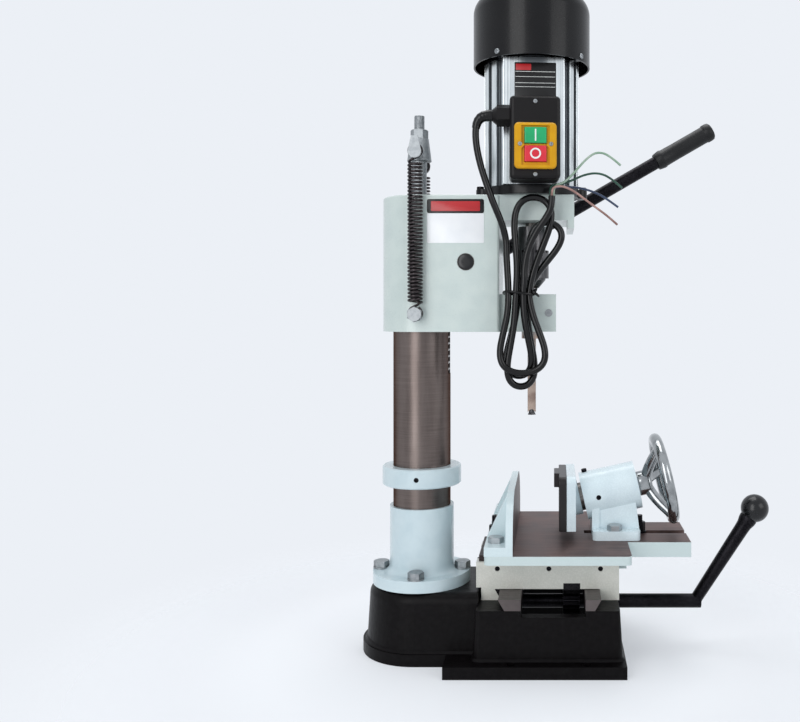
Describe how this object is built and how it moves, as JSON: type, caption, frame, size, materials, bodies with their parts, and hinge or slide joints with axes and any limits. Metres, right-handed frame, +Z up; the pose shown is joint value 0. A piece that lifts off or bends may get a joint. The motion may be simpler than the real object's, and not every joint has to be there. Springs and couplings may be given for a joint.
{
  "type": "hollow chisel mortiser",
  "caption": "Bench mortiser: a motor head on a round column drives a hollow chisel by lever, rack and pinion, over a sliding table with a fence and a handwheel clamp.",
  "frame": {"origin": "on the column's axis, in the plane of the bench", "axes": "+Z up along the column, +X to the machine's front over the table, -Y the side with the switch"},
  "size_m": [0.4991, 0.224, 0.798],
  "materials": {
    "base_black": "satin black paint on a casting",
    "socket_white": "gloss pale blue-white paint",
    "zinc_bolts": "bright zinc plate",
    "column_steel": "ground and oiled",
    "rack_steel": "milled and oiled",
    "spring_black": "blackened wire",
    "head_grey": "gloss light grey paint",
    "bush_bronze": "turned",
    "motor_black": "gloss black paint",
    "motor_aluminium": "extruded, satin",
    "motor_core": "laminated pack",
    "fan_plastic": "moulded",
    "switch_black": "moulded, fine grain",
    "switch_yellow": "moulded",
    "button_green": "moulded",
    "button_red": "moulded",
    "cord_black": "satin sheath",
    "core_pale": "insulation",
    "core_green": "insulation",
    "core_blue": "insulation",
    "core_brown": "insulation",
    "lever_black": "blackened steel",
    "grip_rubber": "moulded rubber",
    "knob_black": "moulded",
    "chuck_steel": "dark oiled steel",
    "chisel_steel": "ground, straw-tinted",
    "saddle_white": "gloss off-white paint",
    "table_iron": "ground top, painted edges",
    "jaw_iron": "blackened",
    "wheel_chrome": "polished plate"
  },
  "bodies": {
    "base": {"base_casting": "base_black", "column_socket": "socket_white", "socket_bolts": "zinc_bolts", "column_tube": "column_steel", "column_rack": "rack_steel", "spring_stud": "zinc_bolts", "spring_crossbar": "zinc_bolts", "stud_nut": "zinc_bolts", "return_spring_near": "spring_black", "return_spring_far": "spring_black"},
    "stop_collar": {"stop_collar": "socket_white"},
    "head": {"head_casting": "head_grey", "spring_anchor_bolts": "zinc_bolts", "pinion_bushes": "bush_bronze", "motor_end_shield": "motor_black", "motor_housing": "motor_aluminium", "motor_top_shield": "motor_black", "motor_bearings": "motor_core", "motor_stator": "motor_core", "fan_cover": "motor_black", "switch_box": "switch_black", "switch_bezel": "switch_yellow", "cable_gland": "switch_black", "hollow_chisel": "chisel_steel", "chisel_bush": "bush_bronze", "chisel_pinch_bolt": "chuck_steel", "cord_lead": "cord_black", "cord_hank": "cord_black", "cord_tail": "cord_black", "core_pale": "core_pale", "core_green": "core_green", "core_blue": "core_blue", "core_brown": "core_brown"},
    "start_button": {"start_button": "button_green"},
    "stop_button": {"stop_button": "button_red"},
    "feed_pinion": {"feed_pinion_shaft": "rack_steel"},
    "feed_lever": {"lever_hub": "lever_black", "feed_lever_rod": "lever_black", "feed_lever_grip": "grip_rubber"},
    "spindle": {"rotor_shaft": "rack_steel", "cooling_fan": "fan_plastic", "chuck_body": "chuck_steel", "chuck_sleeve": "chuck_steel", "auger_bit": "chuck_steel"},
    "saddle": {"saddle_casting": "saddle_white", "gib_strips": "bush_bronze", "saddle_rack": "rack_steel"},
    "table_lever": {"table_pinion_shaft": "lever_black", "table_lever_rod": "lever_black", "ball_knob": "knob_black"},
    "table": {"table_top": "table_iron", "fence": "saddle_white", "clamp_body": "saddle_white", "table_bolts": "zinc_bolts"},
    "jaw": {"jaw_plate": "saddle_white", "jaw_facing": "jaw_iron", "jaw_ram": "rack_steel"},
    "handwheel": {"handwheel": "wheel_chrome", "clamp_screw": "rack_steel"}
  },
  "joints": [
    {"name": "head_slide", "type": "slide", "parent": "base", "child": "head", "axis": [0, 0, 1], "range_m": [-0.11, 0], "stiffness_N_per_m": 2000, "springref_m": 0.13, "deforming": ["return_spring_near", "return_spring_far"]},
    {"name": "feed_pinion_turn", "type": "hinge", "parent": "head", "child": "feed_pinion", "pos_m": [0.0585, 0, 0.47], "axis": [0, 1, 0], "range_deg": [0, 230]},
    {"name": "feed_lever_turn", "type": "hinge", "parent": "head", "child": "feed_lever", "pos_m": [0.0585, 0, 0.47], "axis": [0, 1, 0], "range_deg": [-30, 45]},
    {"name": "spindle_turn", "type": "hinge", "parent": "head", "child": "spindle", "pos_m": [0.1355, 0, 0.5], "axis": [0, 0, 1], "continuous": true},
    {"name": "start_press", "type": "slide", "parent": "head", "child": "start_button", "axis": [-0.0698, 0.9976, 0], "range_m": [0, 0.003], "stiffness_N_per_m": 600, "springref_m": -0.001},
    {"name": "stop_press", "type": "slide", "parent": "head", "child": "stop_button", "axis": [-0.0698, 0.9976, 0], "range_m": [0, 0.003], "stiffness_N_per_m": 600, "springref_m": -0.001},
    {"name": "stop_collar_slide", "type": "slide", "parent": "base", "child": "stop_collar", "axis": [0, 0, 1], "range_m": [-0.025, 0.05]},
    {"name": "saddle_slide", "type": "slide", "parent": "base", "child": "saddle", "axis": [0, -1, 0], "range_m": [-0.04, 0.04]},
    {"name": "table_lever_turn", "type": "hinge", "parent": "base", "child": "table_lever", "pos_m": [0.2, 0, 0.054], "axis": [1, 0, 0], "range_deg": [-92, 92]},
    {"name": "table_cross_slide", "type": "slide", "parent": "saddle", "child": "table", "axis": [1, 0, 0], "range_m": [-0.012, 0.02]},
    {"name": "clamp_turn", "type": "hinge", "parent": "table", "child": "handwheel", "pos_m": [0.2657, 0, 0.198], "axis": [-0.9763, 0, -0.2164], "range_deg": [0, 2160]},
    {"name": "jaw_slide", "type": "slide", "parent": "table", "child": "jaw", "axis": [-0.9763, 0, -0.2164], "range_m": [0, 0.0301]}
  ],
  "couplings": [
    {"joint": "feed_pinion_turn", "follows": "head_slide", "rad_per_m": -36.364},
    {"joint": "table_lever_turn", "follows": "saddle_slide", "rad_per_m": 40},
    {"joint": "jaw_slide", "follows": "clamp_turn", "m_per_rad": 0.00079577}
  ]
}
